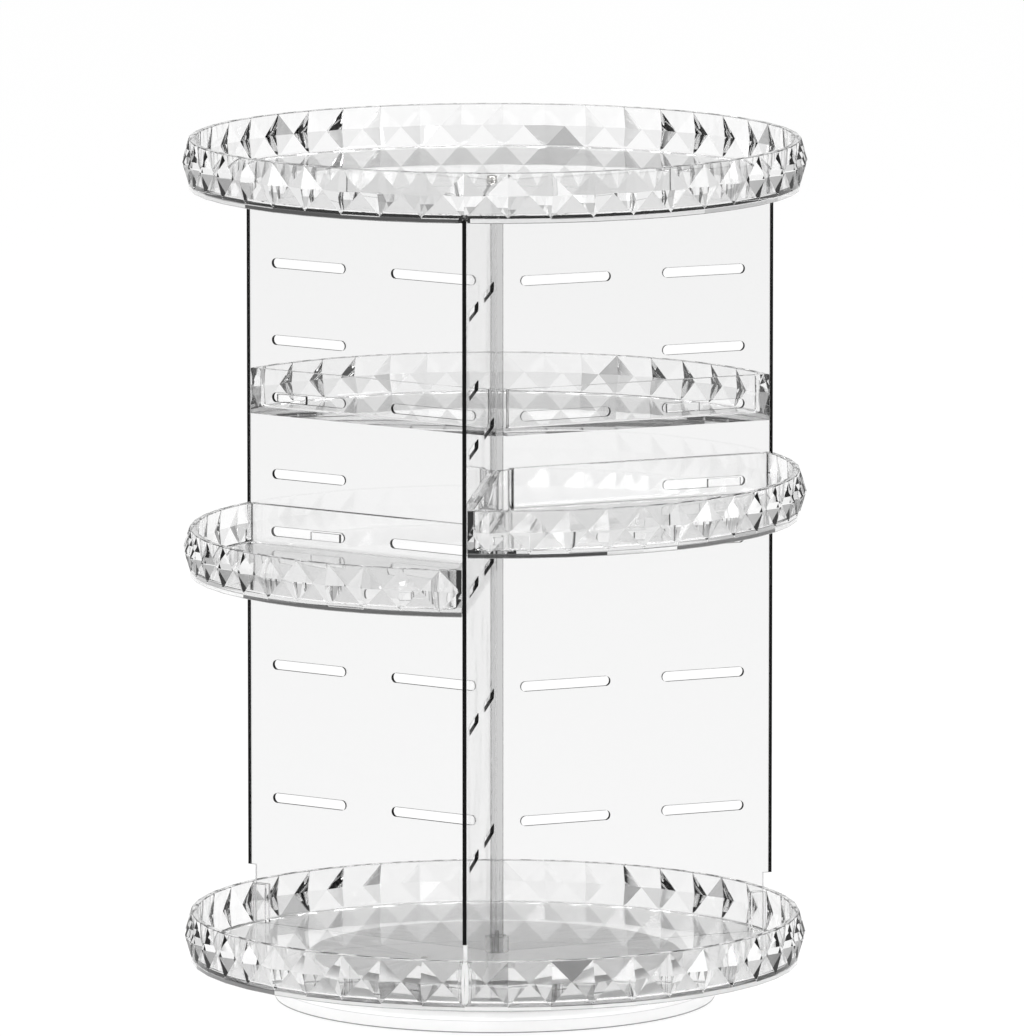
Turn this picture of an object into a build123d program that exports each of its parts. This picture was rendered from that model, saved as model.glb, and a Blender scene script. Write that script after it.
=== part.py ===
"""Rotating makeup organizer: a carousel of clear trays on a ball-bearing turntable.

A round bottom tray turns on a base disc. Three thin clear panels stand in it as a Y around
a slim grooved post, and carry a sector tray each, hung by tabs in the slots of the panels.
A round top tray sits on the panels. Every tray has a rim of moulded diamonds.

Millimetres, +Z up. The origin is on the turning axis, on the surface the feet stand on.
The front panel points along -Y. Every level is worked out from the feet upwards.
"""
import os
from math import cos, radians, sin

from build123d import *

# ---------------------------------------------------------------- driving dimensions
# Base disc and its pads
BASE_RADIUS = 85.0
BASE_THICKNESS = 5.8
BASE_EDGE_FILLET = 1.2
PAD_RADIUS = 8.0
PAD_THICKNESS = 1.6
PAD_STANDOFF = 1.0            # how far a pad reaches below the base disc
PAD_RING_RADIUS = 68.0
PAD_COUNT = 4

# Ball bearing between the base disc and the turntable plate
TURNTABLE_GAP = 3.2           # base disc to turntable plate
TURNTABLE_RADIUS = 72.0
TURNTABLE_THICKNESS = 5.1
TURNTABLE_EDGE_FILLET = 0.8
RACE_RADIUS = 55.0            # circle of the ball centres
RACE_WIDTH = 9.0
RACE_THICKNESS = 1.6
RACE_GAP = 2.4                # between the faces of the two races
BALL_RADIUS = 2.0
BALL_COUNT = 16
CAGE_WIDTH = 7.0
CAGE_THICKNESS = 1.2

# Pivot that holds the turntable plate down
BOSS_RADIUS = 6.0
COUNTERBORE_DEPTH = 3.0       # under the base disc
WASHER_RADIUS = 9.3
WASHER_THICKNESS = 0.8
PIVOT_SHANK_RADIUS = 1.5
PIVOT_SHANK_LENGTH = 9.0
PIVOT_HEAD_RADIUS = 3.5
PIVOT_HEAD_HEIGHT = 1.4

# Screws that join the turntable plate to the bottom tray
PLATE_SCREW_COUNT = 3
PLATE_SCREW_RING_RADIUS = 30.0
PLATE_SCREW_SHANK_RADIUS = 1.25
PLATE_SCREW_HEAD_RADIUS = 2.6
PLATE_SCREW_HEAD_HEIGHT = 1.5
PLATE_SCREW_BITE = 2.0        # depth in the floor of the bottom tray

# Trays
TRAY_RADIUS = 120.0           # axis to the tip of a diamond
FACET_DEPTH = 2.5             # how far a diamond's tip stands out
RIM_WALL = 2.5
FLOOR_THICKNESS = 2.7
FLOOR_FILLET = 1.0            # inside, between the floor and the rim
BAND_HEIGHT = 1.9             # plain band under the diamonds
ROUND_RIM_HEIGHT = 19.2
ROUND_DIAMONDS = 45
SECTOR_RIM_HEIGHT = 18.0
SECTOR_DIAMONDS = 16
FIRST_DIAMOND_ANGLE = 4.6     # degrees from a sector's panel to its first diamond
SECTOR_SIDE_WALL = 2.0
SECTOR_CORNER_FILLET = 4.0

# Panels: their slots come in five full rows, and two half rows with the outer slot only
PANEL_COUNT = 3
PANEL_THICKNESS = 1.5
PANEL_INSET = 1.9             # panel's outer edge to the tips of the diamonds
DECK_HEIGHT = 297.5           # bottom tray's floor to the underside of the top tray
PANEL_STEP_HEIGHT = 6.4       # the step in the outer edge, above the bottom tray's rim
SLOT_HEIGHT = 3.9
SLOT_ROWS = 5
SLOT_PITCH = 52.6
FIRST_SLOT_HEIGHT = 50.2      # above the bottom tray's floor
HALF_ROW_RISE = 22.5          # a half row above the full row under it
HALF_ROWS = (2, 3)            # full rows, counted from 0, that have a half row above them
INNER_SLOT_START = 10.8       # distances of the slots' ends from the axis
INNER_SLOT_END = 48.8
OUTER_SLOT_START = 71.0
OUTER_SLOT_END = 106.0

# Centre post
POST_RADIUS = 3.3
POST_GROOVE_DEPTH = 1.2
POST_SHANK_RADIUS = 1.0
POST_SHANK_BITE = 8.0         # depth of the end screws in the post
POST_SCREW_HEAD_RADIUS = 2.0
POST_SCREW_HEAD_HEIGHT = 1.2
TOP_SCREW_HEAD_RADIUS = 3.0
TOP_SCREW_HEAD_HEIGHT = 1.6

# Seats of the panels in the round trays
COLLAR_WALL = 1.8
COLLAR_HEIGHT = 6.0
GUIDE_LENGTH = 6.0
GUIDE_RIB = 1.2
GUIDE_TOP_GAP = 1.0           # top of a guide rib to the top of the rim
GROOVE_DEPTH = 1.2            # in the underside of the top tray
SOCKET_WIDTH = 4.4            # notch in the rim, around the panel's corner
SOCKET_HEIGHT = 2.5
SOCKET_LENGTH = 4.0

# How the sector trays hang
HOOK_HEIGHT = 7.4             # tray's underside to the middle of its slot
LEFT_TRAY_ROW = 2             # full row
REAR_TRAY_ROW = 3             # full row
RIGHT_TRAY_ROW = 2            # half row above this full row

# Clearances
RUNNING_CLEARANCE = 0.08      # boss in its bore, on the radius
BODY_GAP = 0.3                # between parts that move past each other
BALL_CLEARANCE = 0.3          # ball to race groove
POCKET_CLEARANCE = 0.15       # ball to cage pocket
SCREW_CLEARANCE = 0.05        # on the radius
PANEL_SLIP = 0.2              # each side of a panel in a groove or channel
PANEL_END_GAP = 0.4           # panel to the inside of the rim
SECTOR_GAP = 0.4              # side wall of a sector tray to its panel
CORNER_GAP = 2.2              # sector tray to the centre post
TAB_SIDE_PLAY = 1.5
TAB_TOP_PLAY = 0.6
TAB_END_GAP = 0.3             # tab's end to the far face of the panel

# ---------------------------------------------------------------- levels and derived sizes
BASE_BOTTOM = PAD_STANDOFF
BASE_TOP = BASE_BOTTOM + BASE_THICKNESS
PLATE_BOTTOM = BASE_TOP + TURNTABLE_GAP
PLATE_TOP = PLATE_BOTTOM + TURNTABLE_THICKNESS
BALL_LEVEL = BASE_TOP + TURNTABLE_GAP / 2
LOWER_RACE_TOP = BALL_LEVEL - RACE_GAP / 2
UPPER_RACE_BOTTOM = BALL_LEVEL + RACE_GAP / 2
COUNTERBORE_TOP = BASE_BOTTOM + COUNTERBORE_DEPTH
BOSS_BOTTOM = COUNTERBORE_TOP - BODY_GAP
WASHER_BOTTOM = BOSS_BOTTOM - WASHER_THICKNESS

TRAY_BOTTOM = PLATE_TOP
DECK_BOTTOM = TRAY_BOTTOM + FLOOR_THICKNESS
RIM_TOP = TRAY_BOTTOM + ROUND_RIM_HEIGHT
TOP_TRAY_BOTTOM = DECK_BOTTOM + DECK_HEIGHT

VALLEY_RADIUS = TRAY_RADIUS - FACET_DEPTH
INNER_RADIUS = VALLEY_RADIUS - RIM_WALL
PANEL_RADIUS = TRAY_RADIUS - PANEL_INSET
PANEL_INNER = POST_RADIUS - POST_GROOVE_DEPTH + PANEL_SLIP / 2
CHANNEL_WIDTH = PANEL_THICKNESS + 2 * PANEL_SLIP
COLLAR_INNER = POST_RADIUS + PANEL_SLIP
SECTOR_ANGLE = 360 / PANEL_COUNT
FRONT = 270.0                 # the front panel's direction in degrees
RIGHT = FRONT + SECTOR_ANGLE
LEFT = FRONT - SECTOR_ANGLE
INNER_SLOT = (INNER_SLOT_START, INNER_SLOT_END)
OUTER_SLOT = (OUTER_SLOT_START, OUTER_SLOT_END)
SLOT_ROUND = SLOT_HEIGHT / 2  # radius of a slot's round end
TAB_LENGTH = (OUTER_SLOT_END - OUTER_SLOT_START - SLOT_HEIGHT) / 2 - TAB_SIDE_PLAY
TAB_HEIGHT = SLOT_HEIGHT - TAB_TOP_PLAY
TAB_NEAR = OUTER_SLOT_START + SLOT_ROUND + TAB_LENGTH / 2
TAB_FAR = OUTER_SLOT_END - SLOT_ROUND - TAB_LENGTH / 2
OVERCUT = 1.0                 # how far a cutter runs past the face it opens

ON_FLOOR = (Align.CENTER, Align.CENTER, Align.MIN)
UNDER_TOP = (Align.CENTER, Align.CENTER, Align.MAX)


def polar(radius, angle, z=0.0):
    """Point at a radius and an angle in degrees."""
    return (radius * cos(radians(angle)), radius * sin(radians(angle)), z)


def axis_distance(edge):
    middle = edge.center()
    return Vector(middle.X, middle.Y).length


def disc(radius, bottom, top):
    return Pos(0, 0, bottom) * Cylinder(radius, top - bottom, align=ON_FLOOR)


def ring(outer, inner, bottom, top):
    bore = disc(inner, bottom - OVERCUT, top + OVERCUT)
    return disc(outer, bottom, top) - bore


def radial_bar(inner, outer, width, bottom, top):
    """Block that lies along +X from one radius to another."""
    bar = Box(outer - inner, width, top - bottom, align=(Align.MIN, Align.CENTER, Align.MIN))
    return Pos(inner, 0, bottom) * bar


def panel_angles():
    return [FRONT + index * SECTOR_ANGLE for index in range(PANEL_COUNT)]


def around(shape, angles):
    return [Rot(0, 0, angle) * shape for angle in angles]


def evenly(count):
    return [index * 360 / count for index in range(count)]


# ---------------------------------------------------------------- screws
def cross_recess(radius, depth):
    width = radius * 0.3
    length = radius * 1.1
    bar = Box(length, width, depth, align=UNDER_TOP)
    return bar + Rot(0, 0, 90) * bar


def pan_screw(shank_radius, shank_length, head_radius, head_height):
    """Screw with its head's seat at Z = 0, the head above it and the shank below it."""
    head = Cylinder(head_radius, head_height, align=ON_FLOOR)
    crown = head.edges().group_by(Axis.Z)[-1]
    head = fillet(crown, head_height * 0.5)
    head -= Pos(0, 0, head_height) * cross_recess(head_radius, head_height * 0.55)
    shank = Cylinder(shank_radius, shank_length, align=UNDER_TOP)
    tip = shank.edges().group_by(Axis.Z)[0]
    return head + chamfer(tip, shank_radius * 0.35)


def flat_screw(shank_radius, length, head_radius, head_height, play=0.0):
    """Countersunk screw with its flat head's top at Z = 0; play makes the hole for it."""
    head = Cone(shank_radius + play, head_radius + play, head_height, align=UNDER_TOP)
    shank = Cylinder(shank_radius + play, length + play, align=UNDER_TOP)
    screw = head + shank
    if play == 0.0:
        screw -= cross_recess(head_radius, head_height * 0.6)
    return screw


def upside_down(shape, z):
    return Pos(0, 0, z) * Rot(180, 0, 0) * shape


# ---------------------------------------------------------------- base and bearing
def pad_places():
    return [Rot(0, 0, 45 + angle) * Pos(PAD_RING_RADIUS, 0, 0) for angle in evenly(PAD_COUNT)]


def make_foot_pads():
    pad = Cylinder(PAD_RADIUS, PAD_THICKNESS, align=ON_FLOOR)
    foot_edge = pad.edges().group_by(Axis.Z)[0]
    pad = chamfer(foot_edge, PAD_STANDOFF * 0.3)
    return [place * pad for place in pad_places()]


def make_base_plate():
    plate = disc(BASE_RADIUS, BASE_BOTTOM, BASE_TOP)
    top_edge = plate.edges().group_by(Axis.Z)[-1]
    plate = fillet(top_edge, BASE_EDGE_FILLET)
    plate -= disc(BOSS_RADIUS + RUNNING_CLEARANCE, 0, BASE_TOP + OVERCUT)
    plate -= disc(WASHER_RADIUS + 2 * BODY_GAP, 0, COUNTERBORE_TOP)
    plate -= race_recess(LOWER_RACE_TOP - RACE_THICKNESS, BASE_TOP + OVERCUT)
    pocket = Cylinder(PAD_RADIUS + SCREW_CLEARANCE, PAD_THICKNESS, align=ON_FLOOR)
    for place in pad_places():
        plate -= place * pocket
    return plate


def race_recess(bottom, top):
    """Ring-shaped pocket that a race is pressed into."""
    outer = RACE_RADIUS + RACE_WIDTH / 2 + SCREW_CLEARANCE
    inner = RACE_RADIUS - RACE_WIDTH / 2 - SCREW_CLEARANCE
    return ring(outer, inner, bottom, top)


def make_race(bottom):
    """Flat ring with the groove that the balls run in."""
    outer = RACE_RADIUS + RACE_WIDTH / 2
    inner = RACE_RADIUS - RACE_WIDTH / 2
    groove = Pos(0, 0, BALL_LEVEL) * Torus(RACE_RADIUS, BALL_RADIUS + BALL_CLEARANCE)
    return ring(outer, inner, bottom, bottom + RACE_THICKNESS) - groove


def make_balls():
    ball = Pos(RACE_RADIUS, 0, BALL_LEVEL) * Sphere(BALL_RADIUS)
    return around(ball, evenly(BALL_COUNT))


def make_cage():
    half = CAGE_THICKNESS / 2
    outer = RACE_RADIUS + CAGE_WIDTH / 2
    inner = RACE_RADIUS - CAGE_WIDTH / 2
    cage = ring(outer, inner, BALL_LEVEL - half, BALL_LEVEL + half)
    pocket = Pos(RACE_RADIUS, 0, BALL_LEVEL) * Sphere(BALL_RADIUS + POCKET_CLEARANCE)
    for place in around(pocket, evenly(BALL_COUNT)):
        cage -= place
    return cage


def plate_screw(play=0.0):
    length = TURNTABLE_THICKNESS + PLATE_SCREW_BITE
    screw = flat_screw(PLATE_SCREW_SHANK_RADIUS, length, PLATE_SCREW_HEAD_RADIUS,
                       PLATE_SCREW_HEAD_HEIGHT, play)
    return Pos(PLATE_SCREW_RING_RADIUS, 0, 0) * upside_down(screw, PLATE_BOTTOM)


def plate_screw_angles():
    return [FRONT + SECTOR_ANGLE / 2 + angle for angle in evenly(PLATE_SCREW_COUNT)]


def make_turntable_plate():
    plate = disc(TURNTABLE_RADIUS, PLATE_BOTTOM, PLATE_TOP)
    bottom_edge = plate.edges().group_by(Axis.Z)[0]
    plate = fillet(bottom_edge, TURNTABLE_EDGE_FILLET)
    plate -= race_recess(PLATE_BOTTOM - OVERCUT, UPPER_RACE_BOTTOM + RACE_THICKNESS)
    plate += disc(BOSS_RADIUS, BOSS_BOTTOM, PLATE_BOTTOM)
    bore_depth = PIVOT_SHANK_LENGTH - WASHER_THICKNESS + BODY_GAP
    plate -= disc(PIVOT_SHANK_RADIUS + SCREW_CLEARANCE, BOSS_BOTTOM - OVERCUT,
                  BOSS_BOTTOM + bore_depth)
    for hole in around(plate_screw(SCREW_CLEARANCE), plate_screw_angles()):
        plate -= hole
    return plate


def make_pivot_washer():
    hole = PIVOT_SHANK_RADIUS + SCREW_CLEARANCE
    return ring(WASHER_RADIUS, hole, WASHER_BOTTOM, BOSS_BOTTOM)


def make_pivot_screw():
    screw = pan_screw(PIVOT_SHANK_RADIUS, PIVOT_SHANK_LENGTH, PIVOT_HEAD_RADIUS,
                      PIVOT_HEAD_HEIGHT)
    return upside_down(screw, WASHER_BOTTOM)


# ---------------------------------------------------------------- faceted trays
def flat_face(*points):
    return Face(Wire.make_polygon(points, close=True))


def rim_column(angle, height):
    """The points of a rim over one diamond's centre: foot, band, tip and top."""
    middle = (BAND_HEIGHT + height) / 2
    foot = polar(VALLEY_RADIUS, angle)
    band = polar(VALLEY_RADIUS, angle, BAND_HEIGHT)
    tip = polar(TRAY_RADIUS, angle, middle)
    top = polar(VALLEY_RADIUS, angle, height)
    return foot, band, tip, top


def rim_faces(angle, pitch, height):
    """Faces of the rim from one diamond's centre to the next one's."""
    middle = (BAND_HEIGHT + height) / 2
    valley = polar(VALLEY_RADIUS, angle + pitch / 2, middle)
    foot, band, tip, top = rim_column(angle, height)
    next_foot, next_band, next_tip, next_top = rim_column(angle + pitch, height)
    return [
        flat_face(top, tip, valley),
        flat_face(band, tip, valley),
        flat_face(next_top, next_tip, valley),
        flat_face(next_band, next_tip, valley),
        flat_face(top, next_top, valley),
        flat_face(band, next_band, valley),
        flat_face(foot, next_foot, next_band, band),
    ]


def faceted_disc(height):
    """Solid disc with diamonds all round, one of them over each panel."""
    pitch = 360 / ROUND_DIAMONDS
    angles = [FRONT + index * pitch for index in range(ROUND_DIAMONDS)]
    faces = [face for angle in angles for face in rim_faces(angle, pitch, height)]
    faces.append(flat_face(*[rim_column(angle, height)[0] for angle in angles]))
    faces.append(flat_face(*[rim_column(angle, height)[3] for angle in angles]))
    return Solid(Shell(faces))


def faceted_wedge(height):
    """Solid wedge from the X axis through one sector, with diamonds on its curved side."""
    pitch = (SECTOR_ANGLE - 2 * FIRST_DIAMOND_ANGLE) / (SECTOR_DIAMONDS - 1)
    spans = SECTOR_DIAMONDS + 1
    angles = [FIRST_DIAMOND_ANGLE + (index - 1) * pitch for index in range(spans + 1)]
    columns = [rim_column(angle, height) for angle in angles]
    axis_foot = (0, 0, 0)
    axis_top = (0, 0, height)
    faces = [face for angle in angles[:-1] for face in rim_faces(angle, pitch, height)]
    faces.append(flat_face(axis_foot, *[column[0] for column in columns]))
    faces.append(flat_face(axis_top, *[column[3] for column in columns]))
    for column in (columns[0], columns[-1]):
        faces.append(flat_face(axis_foot, *column, axis_top))
    return Solid(Shell(faces))


def sector_prism(offset, bottom, top):
    """Prism between two panels, a given distance from the middle plane of each."""
    reach = 3 * TRAY_RADIUS
    apex = Vector(*polar(offset / sin(radians(SECTOR_ANGLE / 2)), SECTOR_ANGLE / 2, bottom))
    first = apex + Vector(*polar(reach, 0))
    second = apex + Vector(*polar(reach, SECTOR_ANGLE))
    return extrude(flat_face(apex, first, second), amount=top - bottom, dir=(0, 0, 1))


def round_cavity(height):
    cavity = disc(INNER_RADIUS, FLOOR_THICKNESS, height + OVERCUT)
    return fillet(cavity.edges().group_by(Axis.Z)[0], FLOOR_FILLET)


def make_bottom_tray():
    tray = faceted_disc(ROUND_RIM_HEIGHT) - round_cavity(ROUND_RIM_HEIGHT)
    guide_inner = INNER_RADIUS - GUIDE_LENGTH
    guide_top = ROUND_RIM_HEIGHT - GUIDE_TOP_GAP
    guide_width = CHANNEL_WIDTH + 2 * GUIDE_RIB
    root = INNER_RADIUS + RIM_WALL / 2
    guide = radial_bar(guide_inner, root, guide_width, FLOOR_THICKNESS / 2, guide_top)
    collar_top = FLOOR_THICKNESS + COLLAR_HEIGHT
    collar = disc(COLLAR_INNER + COLLAR_WALL, FLOOR_THICKNESS / 2, collar_top)
    tray += around(guide, panel_angles()) + [collar]
    channel = radial_bar(0, INNER_RADIUS, CHANNEL_WIDTH, FLOOR_THICKNESS, guide_top + OVERCUT)
    for cut in around(channel, panel_angles()):
        tray -= cut
    tray -= disc(COLLAR_INNER, FLOOR_THICKNESS, collar_top + OVERCUT)
    tray = Pos(0, 0, TRAY_BOTTOM) * tray
    for hole in around(plate_screw(SCREW_CLEARANCE), plate_screw_angles()):
        tray -= hole
    return tray - post_screw(SCREW_CLEARANCE)


def make_top_tray():
    tray = faceted_disc(ROUND_RIM_HEIGHT) - round_cavity(ROUND_RIM_HEIGHT)
    groove = radial_bar(0, TRAY_RADIUS, CHANNEL_WIDTH, -OVERCUT, GROOVE_DEPTH)
    socket = radial_bar(TRAY_RADIUS - SOCKET_LENGTH, TRAY_RADIUS, SOCKET_WIDTH, -OVERCUT,
                        SOCKET_HEIGHT)
    for cut in around(groove, panel_angles()) + around(socket, panel_angles()):
        tray -= cut
    tray -= disc(POST_SHANK_RADIUS + SCREW_CLEARANCE, -OVERCUT, FLOOR_THICKNESS + OVERCUT)
    return Pos(0, 0, TOP_TRAY_BOTTOM) * tray


def make_sector_tray(start_angle, slot_level):
    """Tray between the panel at start_angle and the next one, hung at a slot's level."""
    height = SECTOR_RIM_HEIGHT
    wall_offset = PANEL_THICKNESS / 2 + SECTOR_GAP
    inner_offset = wall_offset + SECTOR_SIDE_WALL
    corner = POST_RADIUS + CORNER_GAP
    tray = faceted_wedge(height) & sector_prism(wall_offset, 0, height)
    tray -= disc(corner, -OVERCUT, height + OVERCUT)
    cavity = sector_prism(inner_offset, FLOOR_THICKNESS, height + OVERCUT)
    cavity &= disc(INNER_RADIUS, FLOOR_THICKNESS, height + OVERCUT)
    cavity -= disc(corner + SECTOR_SIDE_WALL, 0, height + 2 * OVERCUT)
    upright = cavity.edges().filter_by(Axis.Z)
    outer_corners = [edge for edge in upright if axis_distance(edge) > INNER_RADIUS / 2]
    tray -= fillet(outer_corners, SECTOR_CORNER_FILLET)

    tab_bottom = HOOK_HEIGHT - SLOT_HEIGHT / 2
    root = SECTOR_SIDE_WALL / 2
    reach = SECTOR_GAP + PANEL_THICKNESS - TAB_END_GAP
    tab = Box(TAB_LENGTH, root + reach, TAB_HEIGHT, align=ON_FLOOR)
    middle = wall_offset + root - (root + reach) / 2
    tray += Pos(TAB_NEAR, middle, tab_bottom) * tab
    tray += Rot(0, 0, SECTOR_ANGLE) * Pos(TAB_FAR, -middle, tab_bottom) * tab
    return Rot(0, 0, start_angle) * Pos(0, 0, slot_level - HOOK_HEIGHT) * tray


# ---------------------------------------------------------------- panels and post
def row_level(row):
    return DECK_BOTTOM + FIRST_SLOT_HEIGHT + row * SLOT_PITCH


def half_row_level(row):
    return row_level(row) + HALF_ROW_RISE


def slot_places():
    """Ends and level of every slot in a panel."""
    full = [(slot, row_level(row)) for row in range(SLOT_ROWS) for slot in (INNER_SLOT, OUTER_SLOT)]
    half = [(OUTER_SLOT, half_row_level(row)) for row in HALF_ROWS]
    return full + half


def make_panel(angle):
    step_level = RIM_TOP + PANEL_STEP_HEIGHT
    panel_top = TOP_TRAY_BOTTOM + GROOVE_DEPTH
    foot_radius = INNER_RADIUS - PANEL_END_GAP
    outline = [
        (PANEL_INNER, DECK_BOTTOM), (foot_radius, DECK_BOTTOM), (foot_radius, step_level),
        (PANEL_RADIUS, step_level), (PANEL_RADIUS, panel_top), (PANEL_INNER, panel_top),
    ]
    plate = flat_face(*[(x, -PANEL_THICKNESS / 2, z) for x, z in outline])
    panel = extrude(plate, amount=PANEL_THICKNESS, dir=(0, 1, 0))
    for (near, far), level in slot_places():
        sketch = Plane.XZ * Pos((near + far) / 2, level) * SlotOverall(far - near, SLOT_HEIGHT)
        panel -= extrude(sketch, amount=PANEL_THICKNESS, both=True)
    return Rot(0, 0, angle) * panel


def make_center_post():
    post = disc(POST_RADIUS, DECK_BOTTOM, TOP_TRAY_BOTTOM)
    groove_bottom = POST_RADIUS - POST_GROOVE_DEPTH
    groove = radial_bar(groove_bottom, POST_RADIUS + OVERCUT, CHANNEL_WIDTH,
                        DECK_BOTTOM - OVERCUT, TOP_TRAY_BOTTOM + OVERCUT)
    for cut in around(groove, panel_angles()):
        post -= cut
    bore = POST_SHANK_RADIUS + SCREW_CLEARANCE
    depth = POST_SHANK_BITE + BODY_GAP
    post -= disc(bore, DECK_BOTTOM - OVERCUT, DECK_BOTTOM + depth)
    post -= disc(bore, TOP_TRAY_BOTTOM - depth, TOP_TRAY_BOTTOM + OVERCUT)
    return post


def post_screw(play=0.0):
    length = FLOOR_THICKNESS + POST_SHANK_BITE
    screw = flat_screw(POST_SHANK_RADIUS, length, POST_SCREW_HEAD_RADIUS,
                       POST_SCREW_HEAD_HEIGHT, play)
    return upside_down(screw, TRAY_BOTTOM)


def make_top_screw():
    length = FLOOR_THICKNESS + POST_SHANK_BITE
    screw = pan_screw(POST_SHANK_RADIUS, length, TOP_SCREW_HEAD_RADIUS, TOP_SCREW_HEAD_HEIGHT)
    return Pos(0, 0, TOP_TRAY_BOTTOM + FLOOR_THICKNESS) * screw


# ---------------------------------------------------------------- the whole part
def make_parts():
    return {
        "base_plate": make_base_plate(),
        "foot_pads": make_foot_pads(),
        "lower_race": make_race(LOWER_RACE_TOP - RACE_THICKNESS),
        "ball_cage": make_cage(),
        "bearing_balls": make_balls(),
        "upper_race": make_race(UPPER_RACE_BOTTOM),
        "turntable_plate": make_turntable_plate(),
        "pivot_washer": make_pivot_washer(),
        "pivot_screw": make_pivot_screw(),
        "turntable_screws": around(plate_screw(), plate_screw_angles()),
        "bottom_tray": make_bottom_tray(),
        "center_post": make_center_post(),
        "post_screw": post_screw(),
        "panel_front": make_panel(FRONT),
        "panel_left": make_panel(LEFT),
        "panel_right": make_panel(RIGHT),
        "left_tray": make_sector_tray(LEFT, row_level(LEFT_TRAY_ROW)),
        "right_tray": make_sector_tray(FRONT, half_row_level(RIGHT_TRAY_ROW)),
        "rear_tray": make_sector_tray(RIGHT, row_level(REAR_TRAY_ROW)),
        "top_tray": make_top_tray(),
        "top_screw": make_top_screw(),
    }


def main():
    os.makedirs("parts", exist_ok=True)
    for node, shape in make_parts().items():
        pieces = shape if isinstance(shape, list) else [shape]
        solids = [solid for piece in pieces for solid in piece.solids()]
        export_step(Compound(children=solids), "parts/" + node + ".step")
        print(node, len(solids), "solid(s)")


main()
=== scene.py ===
# %% [markdown]
# # A rotating makeup organizer in clear plastic
#
# The real object is a carousel: a round tray turns on a small base disc, three thin sheets
# stand in it as a Y, a sector tray hangs between each pair of sheets, and a round tray lies
# on top. Nearly all of it is clear, so this lesson is about glassy things: crisp edges,
# honest wall thickness, and a studio that gives the plastic something to bend and mirror.
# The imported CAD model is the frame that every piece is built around.

# %% Load the frame
import math
import random

import bmesh
import bpy
from mathutils import Matrix, Vector


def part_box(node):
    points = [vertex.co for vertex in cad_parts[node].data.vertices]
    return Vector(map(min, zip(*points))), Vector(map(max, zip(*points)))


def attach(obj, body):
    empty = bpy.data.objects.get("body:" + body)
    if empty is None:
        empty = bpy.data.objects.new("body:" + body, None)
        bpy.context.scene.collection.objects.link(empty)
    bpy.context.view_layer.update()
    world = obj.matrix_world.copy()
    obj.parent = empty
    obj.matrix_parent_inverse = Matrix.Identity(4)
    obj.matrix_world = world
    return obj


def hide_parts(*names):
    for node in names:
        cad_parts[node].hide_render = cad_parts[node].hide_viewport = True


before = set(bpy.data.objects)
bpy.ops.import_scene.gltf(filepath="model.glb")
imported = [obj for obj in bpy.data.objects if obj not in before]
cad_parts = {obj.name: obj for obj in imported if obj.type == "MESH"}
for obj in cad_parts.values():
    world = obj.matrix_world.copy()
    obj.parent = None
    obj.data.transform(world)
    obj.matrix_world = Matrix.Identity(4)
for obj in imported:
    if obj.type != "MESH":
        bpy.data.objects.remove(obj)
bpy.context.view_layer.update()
MM = 0.001

# %% [markdown]
# ## Camera
#
# The picture was taken with a very long lens, almost without perspective. A camera 5.3 m
# away does the same. It looks down by about eight degrees and stands a little to the right
# of the front sheet, so that this sheet shows as a narrow strip left of the post. The
# camera slides sideways by a few millimetres instead of using lens shift.

# %% Camera
IMAGE_HEIGHT = 1036
FOCAL_PIXELS = 13873
AZIMUTH = math.radians(5.52)
ELEVATION = math.radians(8.155)
DISTANCE = 5.34
TARGET_HEIGHT = 0.187
SIDE_STEP = 6.6 * MM
SENSOR = 36.0
FAR_CLIP = 200.0

camera_data = bpy.data.cameras.new("portrait_camera")
camera_data.sensor_fit = "VERTICAL"
camera_data.sensor_height = SENSOR
camera_data.lens = FOCAL_PIXELS / IMAGE_HEIGHT * SENSOR
camera_data.clip_end = FAR_CLIP
camera = bpy.data.objects.new("portrait_camera", camera_data)
bpy.context.scene.collection.objects.link(camera)
bpy.context.scene.camera = camera

right = Vector((math.cos(AZIMUTH), math.sin(AZIMUTH), 0.0))
back = Vector((math.sin(AZIMUTH) * math.cos(ELEVATION),
               -math.cos(AZIMUTH) * math.cos(ELEVATION), math.sin(ELEVATION)))
up = back.cross(right)
turn = Matrix((right, up, back)).transposed().to_4x4()
place = Vector((0.0, 0.0, TARGET_HEIGHT)) + back * DISTANCE + right * SIDE_STEP
camera.matrix_world = Matrix.Translation(place) @ turn
print("Camera lens:", round(camera_data.lens), "mm")

# %% [markdown]
# ## Studio
#
# Clear plastic has hardly any colour of its own: it shows the room, bent. In an all-white
# room it would vanish. Photographers light it "bright field": white behind and below it, and
# dark boards around it a little higher up, so that the edges and facets turn grey and black.
# The world does that here with a ramp over the height of the direction: white up to the
# horizon, a dark belt above it, and a bright ceiling. The camera itself sees plain white.

# %% World
ROOM_BY_HEIGHT = [(0.0, 1.0), (0.52, 1.0), (0.60, 0.52), (0.78, 0.28), (0.90, 0.9), (1.0, 1.0)]
ROOM_LIGHT = 0.9

world = bpy.data.worlds.new("studio")
bpy.context.scene.world = world
world.use_nodes = True
world_nodes = world.node_tree.nodes
world_links = world.node_tree.links
world_nodes.clear()


def ramp_stops(ramp, stops):
    """Fill a colour ramp from a list of (position, grey level)."""
    elements = ramp.color_ramp.elements
    while len(elements) < len(stops):
        elements.new(0.5)
    for element, (position, level) in zip(elements, stops):
        element.position = position
        element.color = (level, level, level, 1.0)


def mixed(nodes, links, factor, first, second):
    """The first shader where the factor is 0, and the second where it is 1."""
    mix = nodes.new("ShaderNodeMixShader")
    links.new(factor, mix.inputs["Fac"])
    links.new(first, mix.inputs[1])
    links.new(second, mix.inputs[2])
    return mix.outputs["Shader"]


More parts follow.
